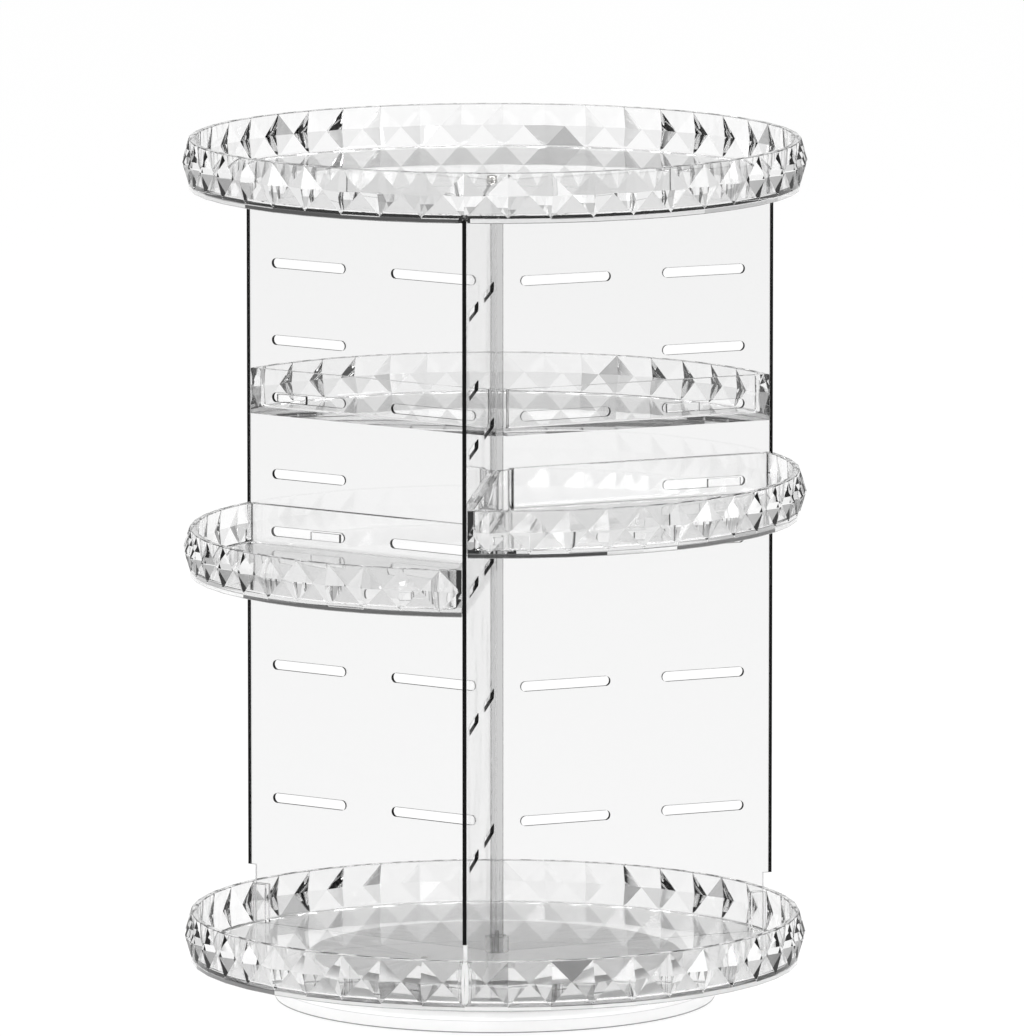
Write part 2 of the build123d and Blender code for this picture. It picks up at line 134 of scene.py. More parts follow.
direction = world_nodes.new("ShaderNodeTexCoord")
split = world_nodes.new("ShaderNodeSeparateXYZ")
world_links.new(direction.outputs["Generated"], split.inputs["Vector"])
height = world_nodes.new("ShaderNodeMapRange")
height.inputs["From Min"].default_value = -1.0
world_links.new(split.outputs["Z"], height.inputs["Value"])
room = world_nodes.new("ShaderNodeValToRGB")
ramp_stops(room, ROOM_BY_HEIGHT)
world_links.new(height.outputs["Result"], room.inputs["Fac"])

seen = world_nodes.new("ShaderNodeLightPath")
lit = world_nodes.new("ShaderNodeBackground")
lit.inputs["Strength"].default_value = ROOM_LIGHT
plain = world_nodes.new("ShaderNodeBackground")
plain.inputs["Color"].default_value = (1.0, 1.0, 1.0, 1.0)
world_out = world_nodes.new("ShaderNodeOutputWorld")
world_links.new(room.outputs["Color"], lit.inputs["Color"])
surroundings = mixed(world_nodes, world_links, seen.outputs["Is Camera Ray"],
                     lit.outputs["Background"], plain.outputs["Background"])
world_links.new(surroundings, world_out.inputs["Surface"])
print("Room stops:", len(ROOM_BY_HEIGHT))

# %% [markdown]
# ## Lamps
#
# Three square softboxes, at the left, at the right and overhead, brighten the trays' floors and
# put broad highlights on the facets. They are large for their distance, because a small lamp
# would leave hard sparks on every edge.


# %% Lamps
def softbox(name, location, size, power):
    """A square area lamp that looks at the middle of the carousel."""
    data = bpy.data.lights.new(name, "AREA")
    data.shape = "SQUARE"
    data.size = size
    data.energy = power
    lamp = bpy.data.objects.new(name, data)
    lamp.location = location
    aim = Vector((0.0, 0.0, TARGET_HEIGHT)) - lamp.location
    lamp.rotation_euler = aim.to_track_quat("-Z", "Y").to_euler()
    bpy.context.scene.collection.objects.link(lamp)
    print(name, "power:", power, "W")


softbox("key_softbox", (-1.3, -1.5, 1.5), size=0.9, power=17.0)
softbox("fill_softbox", (1.6, -0.9, 0.9), size=0.7, power=9.0)
softbox("top_softbox", (0.1, 0.3, 1.9), size=1.2, power=22.0)

# %% [markdown]
# ## Materials
#
# Two effects turn up in more than one finish, so each is a node group: the slow waviness of
# a moulded or extruded surface with the faint haze of handling, and the painted shade of a
# facet, which stands in for the reflections and shade it shows. The facets' painted shade comes
# from an attribute of the faces, which the modelling fills in.

# %% Node groups: moulded surface and painted facet shade
SHADE_LAYER = "facet_shade"


def group_with(name, inputs, outputs):
    """A node group with named sockets, and its two end nodes."""
    group = bpy.data.node_groups.new(name, "ShaderNodeTree")
    for label, kind, value in inputs:
        socket = group.interface.new_socket(label, in_out="INPUT", socket_type=kind)
        socket.default_value = value
    for label, kind in outputs:
        group.interface.new_socket(label, in_out="OUTPUT", socket_type=kind)
    start = group.nodes.new("NodeGroupInput")
    end = group.nodes.new("NodeGroupOutput")
    return group, start, end


def make_surface_group():
    """Waviness as a height, and handling haze as a roughness."""
    group, start, end = group_with(
        "moulded_surface",
        [("Wave Size", "NodeSocketFloat", 40.0), ("Roughness", "NodeSocketFloat", 0.02),
         ("Haze", "NodeSocketFloat", 0.05)],
        [("Height", "NodeSocketFloat"), ("Roughness", "NodeSocketFloat")])
    nodes, links = group.nodes, group.links
    coordinates = nodes.new("ShaderNodeTexCoord")
    waves = nodes.new("ShaderNodeTexNoise")
    waves.inputs["Detail"].default_value = 1.0
    links.new(coordinates.outputs["Object"], waves.inputs["Vector"])
    links.new(start.outputs["Wave Size"], waves.inputs["Scale"])
    smudges = nodes.new("ShaderNodeTexNoise")
    smudges.inputs["Scale"].default_value = 18.0
    smudges.inputs["Detail"].default_value = 6.0
    links.new(coordinates.outputs["Object"], smudges.inputs["Vector"])
    spread = nodes.new("ShaderNodeMapRange")
    spread.inputs["From Min"].default_value = 0.5
    spread.inputs["From Max"].default_value = 0.8
    links.new(smudges.outputs["Fac"], spread.inputs["Value"])
    haze = nodes.new("ShaderNodeMath")
    haze.operation = "MULTIPLY_ADD"
    links.new(spread.outputs["Result"], haze.inputs[0])
    links.new(start.outputs["Haze"], haze.inputs[1])
    links.new(start.outputs["Roughness"], haze.inputs[2])
    links.new(waves.outputs["Fac"], end.inputs["Height"])
    links.new(haze.outputs["Value"], end.inputs["Roughness"])
    return group


def make_facet_group():
    """Painted shade of a facet: clear where its shade is 0, and dark where it is 1."""
    group, start, end = group_with(
        "facet_colour",
        [("Clear", "NodeSocketColor", (1.0, 1.0, 1.0, 1.0)),
         ("Dark", "NodeSocketColor", (0.05, 0.05, 0.05, 1.0))],
        [("Color", "NodeSocketColor")])
    nodes, links = group.nodes, group.links
    shade = nodes.new("ShaderNodeAttribute")
    shade.attribute_name = SHADE_LAYER
    blend = nodes.new("ShaderNodeMix")
    blend.data_type = "RGBA"
    links.new(shade.outputs["Fac"], blend.inputs["Factor"])
    links.new(start.outputs["Clear"], blend.inputs["A"])
    links.new(start.outputs["Dark"], blend.inputs["B"])
    links.new(blend.outputs["Result"], end.inputs["Color"])
    return group


surface_group = make_surface_group()
facet_group = make_facet_group()
print("Node groups:", surface_group.name, facet_group.name)

# %% [markdown]
# ## Clear plastic
#
# The trays, the sheets and the post are clear, so they get full transmission and the IOR of
# acrylic. Glass normally blocks lamps and would drop a black shadow, so shadow rays pass
# through a tinted Transparent shader instead. The plain band at the foot of a rim is made
# milkier than the rest, as painted light for the light of the whole floor that it gathers
# behind it. The cut edges of the sheets are matt, and each kind has a painted grey level for
# the light and
# shade it shows: painted shade black outside and dark in the slots, and painted light, pale,
# where the foot of a sheet stands inside the bottom tray.

# %% Finish: clear plastic
PLASTIC_IOR = 1.49
DARK_FACET = 0.03


def grey(level):
    """A neutral colour with its alpha."""
    return (level, level, level, 1.0)


def finish_with(name, surface_values, bump_distance):
    """A material with a Principled shader and the moulded surface on it."""
    material = bpy.data.materials.new(name)
    material.use_nodes = True
    nodes, links = material.node_tree.nodes, material.node_tree.links
    shader = nodes["Principled BSDF"]
    surface = nodes.new("ShaderNodeGroup")
    surface.node_tree = surface_group
    for label, value in surface_values.items():
        surface.inputs[label].default_value = value
    bump = nodes.new("ShaderNodeBump")
    bump.inputs["Distance"].default_value = bump_distance
    links.new(surface.outputs["Height"], bump.inputs["Height"])
    links.new(surface.outputs["Roughness"], shader.inputs["Roughness"])
    links.new(bump.outputs["Normal"], shader.inputs["Normal"])
    return material, shader


def clear_plastic(name, tint, shadow_tint, faceted=False, clearness=1.0):
    """Crystal-clear plastic that lets lamps through."""
    values = {"Wave Size": 30.0, "Roughness": 0.012, "Haze": 0.02}
    material, shader = finish_with(name, values, bump_distance=0.04 * MM)
    nodes, links = material.node_tree.nodes, material.node_tree.links
    shader.inputs["Base Color"].default_value = grey(tint)
    shader.inputs["Transmission Weight"].default_value = clearness
    shader.inputs["IOR"].default_value = PLASTIC_IOR
    # A faceted piece takes its colour from the painted facet shade: painted reflections and
    # shade.
    if faceted:
        facets = nodes.new("ShaderNodeGroup")
        facets.node_tree = facet_group
        facets.inputs["Clear"].default_value = grey(tint)
        facets.inputs["Dark"].default_value = grey(DARK_FACET)
        links.new(facets.outputs["Color"], shader.inputs["Base Color"])
    path = nodes.new("ShaderNodeLightPath")
    passing = nodes.new("ShaderNodeBsdfTransparent")
    passing.inputs["Color"].default_value = grey(shadow_tint)
    surface = mixed(nodes, links, path.outputs["Is Shadow Ray"], shader.outputs["BSDF"],
                    passing.outputs["BSDF"])
    links.new(surface, nodes["Material Output"].inputs["Surface"])
    return material


def painted_edge_finish(name, level):
    """A matt cut edge of clear sheet, with next to no shine; its grey level is painted: dark
    for shade, pale for light.
    """
    values = {"Wave Size": 300.0, "Roughness": 0.3, "Haze": 0.1}
    material, shader = finish_with(name, values, bump_distance=0.02 * MM)
    shader.inputs["Base Color"].default_value = grey(level)
    shader.inputs["Specular IOR Level"].default_value = 0.08
    return material


tray_plastic = clear_plastic("clear_tray_plastic", tint=0.995, shadow_tint=0.95, faceted=True)
band_plastic = clear_plastic("tray_band_plastic", tint=0.97, shadow_tint=0.95, faceted=True,
                             clearness=0.25)
panel_plastic = clear_plastic("clear_sheet_plastic", tint=0.885, shadow_tint=0.95)
# The post's grey tint is painted shade for the dark edges of the sheets that meet at it.
post_plastic = clear_plastic("clear_post_painted_shade", tint=0.58, shadow_tint=0.9)
black_painted_edge = painted_edge_finish("sheet_edge_painted_black", level=0.004)
dark_painted_slot = painted_edge_finish("slot_sides_painted_dark", level=0.015)
pale_painted_foot = painted_edge_finish("foot_side_painted_light", level=0.93)
print("Clear finishes:", tray_plastic.name, panel_plastic.name, post_plastic.name)

# %% [markdown]
# ## Base, rubber and steel
#
# The foot of the carousel is frosted plastic: rough, and nearly opaque. The photo shows its
# disc as a pale shape with two thin grey lines, one at the foot and one near the top, and a
# ramp over the height paints them into its colour, as painted shade at the disc's two edges.
# The hidden pieces, such as races, balls and screws, keep their CAD shape and get plain shop
# finishes.

# %% Finish: base, rubber and steel
BASE_PAINTED_LINES = [(0.0, 0.22), (0.06, 0.26), (0.09, 0.96), (0.77, 0.96), (0.80, 0.55), (0.83, 0.96)]


def frosted_plastic(name, level, transmission):
    """Rough pale plastic that lets a little light through."""
    values = {"Wave Size": 90.0, "Roughness": 0.3, "Haze": 0.1}
    material, shader = finish_with(name, values, bump_distance=0.03 * MM)
    shader.inputs["Base Color"].default_value = grey(level)
    shader.inputs["Transmission Weight"].default_value = transmission
    shader.inputs["IOR"].default_value = PLASTIC_IOR
    return material


def solid_finish(name, color, roughness, wave_size, bump, metallic=0.0):
    """An opaque finish: rubber, plastic or bare steel."""
    values = {"Wave Size": wave_size, "Roughness": roughness, "Haze": 0.12}
    material, shader = finish_with(name, values, bump)
    shader.inputs["Base Color"].default_value = color
    shader.inputs["Metallic"].default_value = metallic
    return material


def outlined_base(name):
    """Frosted plastic with thin grey lines of painted shade at the disc's two edges."""
    material = frosted_plastic(name, level=0.96, transmission=0.12)
    nodes, links = material.node_tree.nodes, material.node_tree.links
    low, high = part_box("base_plate")
    coordinates = nodes.new("ShaderNodeTexCoord")
    split = nodes.new("ShaderNodeSeparateXYZ")
    level = nodes.new("ShaderNodeMapRange")
    level.inputs["From Min"].default_value = low.z
    level.inputs["From Max"].default_value = high.z
    lines = nodes.new("ShaderNodeValToRGB")
    ramp_stops(lines, BASE_PAINTED_LINES)
    links.new(coordinates.outputs["Object"], split.inputs["Vector"])
    links.new(split.outputs["Z"], level.inputs["Value"])
    links.new(level.outputs["Result"], lines.inputs["Fac"])
    links.new(lines.outputs["Color"], nodes["Principled BSDF"].inputs["Base Color"])
    return material


base_plastic = outlined_base("frosted_base_plastic")
turntable_plastic = frosted_plastic("frosted_turntable_plastic", level=0.96, transmission=0.08)
cage_plastic = solid_finish("cage_plastic", grey(0.85), roughness=0.45, wave_size=400.0,
                            bump=0.03 * MM)
pad_rubber = solid_finish("pad_rubber", (0.70, 0.71, 0.72, 1.0), roughness=0.75,
                          wave_size=900.0, bump=0.1 * MM)
race_steel = solid_finish("race_steel", (0.60, 0.61, 0.63, 1.0), roughness=0.28,
                          wave_size=500.0, bump=0.02 * MM, metallic=1.0)
ball_steel = solid_finish("ball_steel", (0.76, 0.77, 0.78, 1.0), roughness=0.06,
                          wave_size=200.0, bump=0.005 * MM, metallic=1.0)
screw_steel = solid_finish("screw_steel", (0.66, 0.65, 0.63, 1.0), roughness=0.22,
                           wave_size=700.0, bump=0.01 * MM, metallic=1.0)

NODE_FINISH = {
    "base_plate": base_plastic, "turntable_plate": turntable_plastic, "foot_pads": pad_rubber,
    "lower_race": race_steel, "upper_race": race_steel, "pivot_washer": race_steel,
    "ball_cage": cage_plastic, "bearing_balls": ball_steel, "pivot_screw": screw_steel,
    "turntable_screws": screw_steel, "post_screw": screw_steel, "top_screw": screw_steel,
    "center_post": post_plastic,
}
for node, finish in NODE_FINISH.items():
    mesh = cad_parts[node].data
    mesh.materials.clear()
    mesh.materials.append(finish)
print("Finishes on carried-over nodes:", len(NODE_FINISH))

# %% [markdown]
# ## Faceted rims
#
# Every tray has a moulded rim of four-sided diamonds with flat triangles between them. One
# quad of a plain wall gives one of each: poking the quad makes the valley point between two
# diamonds, and a new vertex in the middle of each upright edge, pulled outwards, is a
# diamond's tip. Only joining the tips to the valleys is left.

# %% Cutting a wall into diamonds
FACET_DEPTH = 2.5 * MM
RIM_WALL = 2.5 * MM
CLOSE = 1e-6
TOUCHING = 1e-7

tray_low, tray_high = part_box("bottom_tray")
tip_radius = -tray_low.y
valley_radius = tip_radius - FACET_DEPTH
inner_radius = valley_radius - RIM_WALL
print("Tray radius:", round(tip_radius / MM, 2), "mm")


def vertical(edge):
    """True for an edge that stands upright."""
    first, second = edge.verts
    return (first.co.xy - second.co.xy).length < TOUCHING


def cut_diamonds(bm, quads):
    """Turn a row of upright quads into diamonds and flat triangles; return the facets."""
    levels = [vert.co.z for quad in quads for vert in quad.verts]
    middle = (min(levels) + max(levels)) / 2
    uprights = list({edge for quad in quads for edge in quad.edges if vertical(edge)})
    bmesh.ops.poke(bm, faces=quads)
    bmesh.ops.subdivide_edges(bm, edges=uprights, cuts=1)
    waist = [vert for vert in bm.verts if abs(vert.co.z - middle) < CLOSE]
    tips = [vert for vert in waist if any(vertical(edge) for edge in vert.link_edges)]
    for tip in tips:
        tip.co.xy = tip.co.xy.normalized() * tip_radius
    bmesh.ops.connect_verts(bm, verts=waist)
    return list({face for vert in waist for face in vert.link_faces})


# %% [markdown]
# ## Shades of the facets
#
# Real facets pick up the dark corners of a room here and there. That is painted here: each
# face gets a painted shade from 0, clear, to 1, dark, kept in a layer of the mesh that the
# material reads. The facets that look up stay nearly clear, and those that look down are
# painted greyer, as shade. Under the diamonds runs a thin broken dark line, painted shade in
# the crease, and then a plain band with a painted dark reflection on a stretch or two. The
# draws are seeded, and the faces are sorted by place, so that every run gives the same rim.

# %% Shading the rims
# Painted shades, from 0, clear, to 1, dark: reflections and shade on facets, band and crease
# line.
UPPER_SHADES = [0.0, 0.0, 0.0, 0.0, 0.02, 0.14]
LOWER_SHADES = [0.0, 0.0, 0.0, 0.10, 0.48]
SIDE_SHADES = [0.0, 0.0, 0.02, 0.06]
BAND_SHADES = [0.0, 0.02, 0.05, 0.10]
PAINTED_CREASE_SHADES = [0.15, 0.6, 0.8, 0.9]
CREASE_FADE = 0.12
RARE_SHADE = 0.8
RARE = 0.03
LEVEL_FACET = 0.1
BAND_INDEX = 1
chance = random.Random(11)


def tray_bmesh():
    """An empty bmesh with a layer for the facets' shades; a late layer would drop faces."""
    bm = bmesh.new()
    bm.faces.layers.float.new(SHADE_LAYER)
    return bm


def shades_of(bm):
    """The layer that holds the faces' shades."""
    return bm.faces.layers.float[SHADE_LAYER]


def face_angle(face, turn=0.0):
    """Direction of a face from the axis, in degrees, once its tray is turned."""
    middle = face.calc_center_median()
    return (math.degrees(math.atan2(middle.y, middle.x)) + turn) % 360.0


def by_place(face):
    """Sorting key: round the axis first, then upwards."""
    return round(face_angle(face), 3), round(face.calc_center_median().z, 5)


def shade_facets(bm, facets):
    """Paint each facet a shade for the reflections it shows: those that look down are greyer.
    """
    layer = shades_of(bm)
    for facet in sorted(facets, key=by_place):
        facet.normal_update()
        tilt = facet.normal.z
        shades = SIDE_SHADES
        if abs(tilt) > LEVEL_FACET:
            shades = UPPER_SHADES if tilt > 0 else LOWER_SHADES
        facet[layer] = RARE_SHADE if chance.random() < RARE else chance.choice(shades)


def shade_band(bm, band, stretches, turn=0.0):
    """The plain band under the diamonds is pale, with a painted dark reflection on a stretch or
    two.
    """
    layer = shades_of(bm)
    for face in sorted(band, key=by_place):
        face[layer] = chance.choice(BAND_SHADES)
        for start, end, shade in stretches:
            if start < face_angle(face, turn) < end:
                face[layer] = shade
        face.material_index = BAND_INDEX


def paint_crease_shade(bm, crease, faint=()):
    """A thin broken dark line of painted shade in the crease; it fades on faint stretches."""
    layer = shades_of(bm)
    for face in sorted(crease, key=by_place):
        shade = chance.choice(PAINTED_CREASE_SHADES)
        if any(start < face_angle(face) < end for start, end in faint):
            shade *= CREASE_FADE
        face[layer] = shade
        face.material_index = BAND_INDEX


# %% [markdown]
# ## From a bmesh to a piece
#
# Every piece ends in the same way. Its faces are shaded smooth up to the real edges, it rides
# on the carousel's body, and it stands for the CAD node whose place it takes. Some shapes are
# easier to cut than to build, so a second set of helpers makes a loose object, carves it with
# a Boolean and turns it back into a bmesh.

# %% Pieces and cutters
SHARP_ANGLE = math.radians(9)


def soften(bm):
    """Smooth shading that stops at every real edge."""
    for face in bm.faces:
        face.smooth = True
    for edge in bm.edges:
        edge.smooth = edge.is_manifold and edge.calc_face_angle() < SHARP_ANGLE


def loose_object(name, bm):
    """An object of a bmesh, which is freed."""
    mesh = bpy.data.meshes.new(name)
    bm.to_mesh(mesh)
    bm.free()
    piece = bpy.data.objects.new(name, mesh)
    bpy.context.scene.collection.objects.link(piece)
    return piece


def finish_piece(name, bm, materials, node):
    """Make an object of a bmesh, and put it in the place of its CAD node."""
    soften(bm)
    print(name, "faces:", len(bm.faces))
    piece = loose_object(name, bm)
    for material in materials:
        piece.data.materials.append(material)
    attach(piece, "carousel")
    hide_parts(node)


def carve(piece, cutter):
    """Take the cutter's volume out of the piece, and delete the cutter."""
    cut = piece.modifiers.new("carve", "BOOLEAN")
    cut.operation = "DIFFERENCE"
    cut.solver = "EXACT"
    cut.object = cutter
    graph = bpy.context.evaluated_depsgraph_get()
    carved = bpy.data.meshes.new_from_object(piece.evaluated_get(graph))
    piece.modifiers.clear()
    piece.data = carved
    bpy.data.objects.remove(cutter)


def turned(bm, verts, angle):
    """Turn some vertices about the carousel's axis by an angle in degrees."""
    bmesh.ops.rotate(bm, verts=verts, cent=(0, 0, 0),
                     matrix=Matrix.Rotation(math.radians(angle), 3, "Z"))


def back_to_bmesh(piece):
    """The mesh of a loose object as a bmesh; the object is deleted."""
    bm = bmesh.new()
    bm.from_mesh(piece.data)
    bpy.data.objects.remove(piece)
    return bm


# %% [markdown]
# ## Round trays
#
# A round tray is one closed skin. A circle with a corner for each diamond is raised three
# times: by the plain band, by a thin strip in the crease under the diamonds that carries a line
# of painted shade, and by the wall that is cut into diamonds. Its cap is then inset by the
# wall's thickness, made round, and pushed down to the floor, where a few small steps along a
# quarter circle round the inside corner.

# %% Round tray
FLOOR = 2.7 * MM
BAND = 1.9 * MM
CREASE_STRIP = 0.35 * MM
ROUND_DIAMONDS = 45
SMOOTH_CUTS = 3
FLOOR_ROUND = 1.0 * MM
FOOT_STEPS = 4
LIP = 0.3 * MM
# The lip strips are painted dark, as lines of shade at the rim's edges.
LIP_SHADE = 0.62
LIP_ANGLE = math.radians(40)
OPEN_FLOOR = 20.0 * MM


def bevel_edges(bm, edges, width):
    """Round some edges in two steps; return what the operator made."""
    return bmesh.ops.bevel(bm, geom=edges, offset=width, offset_type="OFFSET", segments=2,
                           profile=0.5, affect="EDGES", material=-1, clamp_overlap=True)


def on_lip(edge, levels):
    """True for a sharp edge along a rim, on one of the given levels."""
    first, second = edge.verts
    level = any(abs(first.co.z - z) < CLOSE and abs(second.co.z - z) < CLOSE
                for z in levels)
    away = min(first.co.xy.length, second.co.xy.length) > OPEN_FLOOR
    return level and away and edge.calc_face_angle() > LIP_ANGLE


def round_lips(bm, bottom, top):
    """Round the edges of the rim and the foot; these thin strips are painted dark, as shade."""
    layer = shades_of(bm)
    lips = [edge for edge in bm.edges if on_lip(edge, (bottom, top))]
    for face in bevel_edges(bm, lips, LIP)["faces"]:
        face[layer] = LIP_SHADE


def raise_cap(bm, cap, rise, keep=False):
    """Extrude a cap by a height; return the new cap and the wall round it.

    With keep, the old cap stays and closes the shape at that end.
    """
    result = bmesh.ops.extrude_face_region(bm, geom=[cap])["geom"]
    new_cap = next(item for item in result if isinstance(item, bmesh.types.BMFace))
    bmesh.ops.translate(bm, verts=new_cap.verts, vec=(0.0, 0.0, rise))
    if not keep:
        bmesh.ops.delete(bm, geom=[cap], context="FACES_ONLY")
    wall = list({face for edge in new_cap.edges for face in edge.link_faces} - {new_cap})
    return new_cap, wall


def round_foot(bm, cap, radius):
    """Step a cap inwards and down along a quarter circle, which rounds the edge round it."""
    for step in range(FOOT_STEPS):
        before = math.pi / 2 * step / FOOT_STEPS
        after = math.pi / 2 * (step + 1) / FOOT_STEPS
        bmesh.ops.inset_region(bm, faces=[cap], use_even_offset=True,
                               thickness=radius * (math.cos(before) - math.cos(after)))
        drop = radius * (math.sin(after) - math.sin(before))
        bmesh.ops.translate(bm, verts=cap.verts, vec=(0.0, 0.0, -drop))


def round_tray_mesh(bottom, top, dark_stretches, faint_crease=()):
    """A closed tray with its first diamond tip at the front: faceted outside, smooth inside."""
    bm = tray_bmesh()
    bmesh.ops.create_circle(bm, cap_ends=True, segments=ROUND_DIAMONDS, radius=valley_radius)
    turned(bm, bm.verts, 180.0)
    bmesh.ops.translate(bm, verts=bm.verts, vec=(0.0, 0.0, bottom))
    foot = next(iter(bm.faces))
    band_cap, band_wall = raise_cap(bm, foot, BAND - CREASE_STRIP, keep=True)
    crease_cap, crease_wall = raise_cap(bm, band_cap, CREASE_STRIP)
    cap, wall = raise_cap(bm, crease_cap, top - bottom - BAND)
    shade_facets(bm, cut_diamonds(bm, wall))
    shade_band(bm, band_wall, dark_stretches)
    paint_crease_shade(bm, crease_wall, faint_crease)
    bmesh.ops.subdivide_edges(bm, edges=list(cap.edges), cuts=SMOOTH_CUTS)
    bmesh.ops.inset_region(bm, faces=[cap], thickness=RIM_WALL, use_even_offset=True)
    for vert in cap.verts:
        vert.co.xy = vert.co.xy.normalized() * inner_radius
    floor_cap = raise_cap(bm, cap, bottom + FLOOR + FLOOR_ROUND - top)[0]
    round_foot(bm, floor_cap, FLOOR_ROUND)
    bmesh.ops.recalc_face_normals(bm, faces=bm.faces)
    round_lips(bm, bottom, top)
    return bm


print("Diamonds on a round rim:", ROUND_DIAMONDS)

# %% [markdown]
# ## Seats for the sheets
#
# The bottom tray holds the three sheets upright: a slotted collar round the post, and a
# channel between two ribs at the rim. In one moulding they would be fused to the floor.
# Here they stand a hair above it as closed pieces of their own, because two overlapping
# skins of glass confuse the light.

# %% Bottom tray
SECTOR = 120.0
SHEET = 1.5 * MM
SLIP = 0.2 * MM
CHANNEL = SHEET + 2 * SLIP
POST_RADIUS = 3.3 * MM
COLLAR_WALL = 1.8 * MM
COLLAR_HEIGHT = 6.0 * MM
COLLAR_STEPS = 14
RIB = 1.2 * MM
RIB_LENGTH = 6.0 * MM
RIB_TOP_GAP = 1.0 * MM
RIB_BEVEL = 0.2 * MM
HAIR = 0.03 * MM
TRAY_FINISHES = [tray_plastic, band_plastic]
SHEET_ANGLES = {"panel_front": 270.0, "panel_right": 30.0, "panel_left": 150.0}

# Stretches of the rims, from one angle to another in degrees: a dark one gets a painted dark
# reflection with its shade, and on a faint one the painted crease line fades.
DARK_STRETCHES = {"bottom_tray": [(195, 233, 0.76)],
                  "top_tray": [(218, 267, 0.95), (317, 345, 0.35)],
                  "left_tray": [(218, 270, 0.88)],
                  "right_tray": [(270, 294, 0.98), (313, 342, 0.90)],
                  "rear_tray": [(60, 90, 0.88)]}
TOP_TRAY_FAINT_CREASE = [(272, 282), (292, 360)]


def box_in(bm, low, high, bevel=0.0):
    """A block between two corners, with its edges rounded if a width is given."""
    made = bmesh.ops.create_cube(bm, size=1.0)["verts"]
    size = [high[axis] - low[axis] for axis in range(3)]
    middle = [(high[axis] + low[axis]) / 2 for axis in range(3)]
    bmesh.ops.scale(bm, verts=made, vec=size)
    bmesh.ops.translate(bm, verts=made, vec=middle)
    edges = list({edge for vert in made for edge in vert.link_edges})
    if bevel:
        made = bevel_edges(bm, edges, bevel)["verts"]
    return made


def spin_profile(bm, profile, start, angle, steps):
    """Spin an outline given in the XZ plane about Z, from one direction through an angle."""
    verts = [bm.verts.new((x, 0.0, z)) for x, z in profile]
    face = bm.faces.new(verts)
    turned(bm, verts, start)
    bmesh.ops.spin(bm, geom=[face, *face.edges, *verts], cent=(0, 0, 0), axis=(0, 0, 1),
                   angle=math.radians(angle), steps=steps, use_duplicate=False)


def add_rib_pair(bm, angle, bottom, top):
    """Two ribs at the rim that hold a sheet's edge between them."""
    near = inner_radius - RIB_LENGTH
    far = inner_radius - HAIR
    for side in (-1, 1):
        left, right = sorted((side * CHANNEL / 2, side * (CHANNEL / 2 + RIB)))
        rib = box_in(bm, (near, left, bottom), (far, right, top), RIB_BEVEL)
        turned(bm, rib, angle)


def add_collar(bm, bottom):
    """Three arcs of a ring, with a gap between them for each sheet."""
    inner = POST_RADIUS + SLIP
    outer = inner + COLLAR_WALL
    gap = math.degrees(math.asin(CHANNEL / 2 / inner))
    top = bottom + COLLAR_HEIGHT
    profile = [(inner, bottom), (outer, bottom), (outer, top), (inner, top)]
    for angle in SHEET_ANGLES.values():
        spin_profile(bm, profile, angle + gap, SECTOR - 2 * gap, COLLAR_STEPS)


low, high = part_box("bottom_tray")
deck = low.z + FLOOR
bottom_mesh = round_tray_mesh(low.z, high.z, DARK_STRETCHES["bottom_tray"])
for angle in SHEET_ANGLES.values():
    add_rib_pair(bottom_mesh, angle, deck + HAIR, high.z - RIB_TOP_GAP)
add_collar(bottom_mesh, deck + HAIR)
bmesh.ops.recalc_face_normals(bottom_mesh, faces=bottom_mesh.faces)
finish_piece("bottom_tray_moulded", bottom_mesh, TRAY_FINISHES, "bottom_tray")

# %% [markdown]
# ## Top tray
#
# The top tray is the same shape as the bottom one, with a groove in its underside over each
# sheet and a small notch in its rim where the sheet's corner goes. Both are bars that run
# outwards from the axis, taken out with a Boolean.

# %% Top tray
GROOVE_DEPTH = 1.2 * MM
NOTCH_WIDTH = 4.4 * MM
NOTCH_HEIGHT = 2.5 * MM
NOTCH_REACH = 4.0 * MM
OVERCUT = 1.0 * MM


def radial_bars(name, near, width, low, high):
    """A cutter of three bars, one over each sheet, that run out past the rim."""
    bm = bmesh.new()
    for angle in SHEET_ANGLES.values():
        bar = box_in(bm, (near, -width / 2, low), (tip_radius + OVERCUT, width / 2, high))
        turned(bm, bar, angle)
    return loose_object(name, bm)


low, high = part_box("top_tray")
blank_mesh = round_tray_mesh(low.z, high.z, DARK_STRETCHES["top_tray"], TOP_TRAY_FAINT_CREASE)
blank = loose_object("top_tray_blank", blank_mesh)
carve(blank, radial_bars("groove_cutter", POST_RADIUS, CHANNEL, low.z - OVERCUT,
                         low.z + GROOVE_DEPTH))
carve(blank, radial_bars("notch_cutter", tip_radius - NOTCH_REACH, NOTCH_WIDTH,
                         low.z - OVERCUT, low.z + NOTCH_HEIGHT))
finish_piece("top_tray_moulded", back_to_bmesh(blank), TRAY_FINISHES, "top_tray")

# %% [markdown]
# ## Sector trays
#
# A sector tray is a third of a round one, with straight walls along the two sheets and a
# rounded notch at the post. A column of the rim is spun through the sector and a bit more,
# its curved side is cut into diamonds, and two planes trim it back to the straight walls.
# All three are made along the X axis first, and turned into place at the end.

# %% The solid sector
SECTOR_DIAMONDS = 16
FIRST_DIAMOND = 4.6
SIDE_GAP = 0.4 * MM
POST_GAP = 2.2 * MM
POST_NOTCH = POST_RADIUS + POST_GAP
WELD = 0.002 * MM
wall_offset = SHEET / 2 + SIDE_GAP


